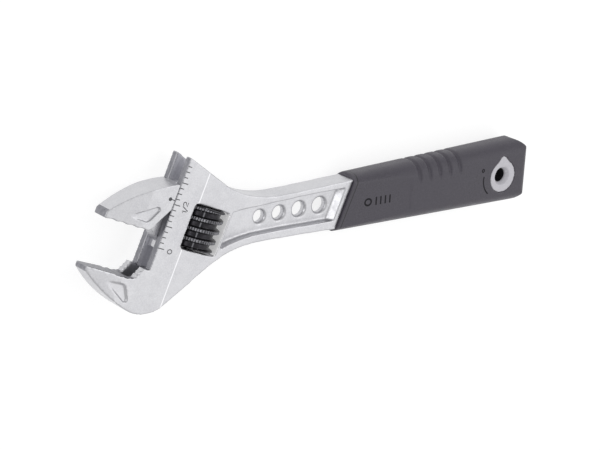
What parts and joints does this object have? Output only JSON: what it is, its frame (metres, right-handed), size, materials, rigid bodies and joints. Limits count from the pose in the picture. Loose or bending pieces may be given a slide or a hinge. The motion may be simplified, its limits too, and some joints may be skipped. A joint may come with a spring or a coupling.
{
  "type": "adjustable wrench",
  "caption": "Adjustable wrench with angled jaws, a movable jaw driven by a knurled worm screw, a recessed steel handle and a soft grip with a teardrop hang hole.",
  "frame": {"origin": "axis of the hang hole at the end of the grip, at mid thickness of the tool", "axes": "+X along the handle towards the jaws, +Y towards the side of the fixed jaw, +Z out of the face that carries the opening scale"},
  "size_m": [0.1608, 0.0432, 0.0136],
  "materials": {
    "head_steel": "satin",
    "jaw_steel": "satin",
    "worm_steel": "black oxide",
    "pin_steel": "dark oiled steel",
    "spring_steel": "bright wire",
    "core_plastic": "matt light grey",
    "cover_rubber": "matt dark slate"
  },
  "bodies": {
    "frame": {"body": "head_steel", "worm_pin": "pin_steel", "grip_core": "core_plastic", "grip_cover": "cover_rubber"},
    "jaw": {"movable_jaw": "jaw_steel"},
    "adjuster": {"worm": "worm_steel", "worm_spring": "spring_steel"}
  },
  "joints": [
    {"name": "jaw_slide", "type": "slide", "parent": "frame", "child": "jaw", "axis": [-0.3827, -0.9239, 0], "range_m": [-0.0137, 0.0102]},
    {"name": "worm_spin", "type": "hinge", "parent": "frame", "child": "adjuster", "pos_m": [0.11169, -0.00039, 0], "axis": [-0.3827, -0.9239, 0], "range_deg": [-1225, 1645]}
  ],
  "couplings": [
    {"joint": "worm_spin", "follows": "jaw_slide", "rad_per_m": -2094.4}
  ]
}
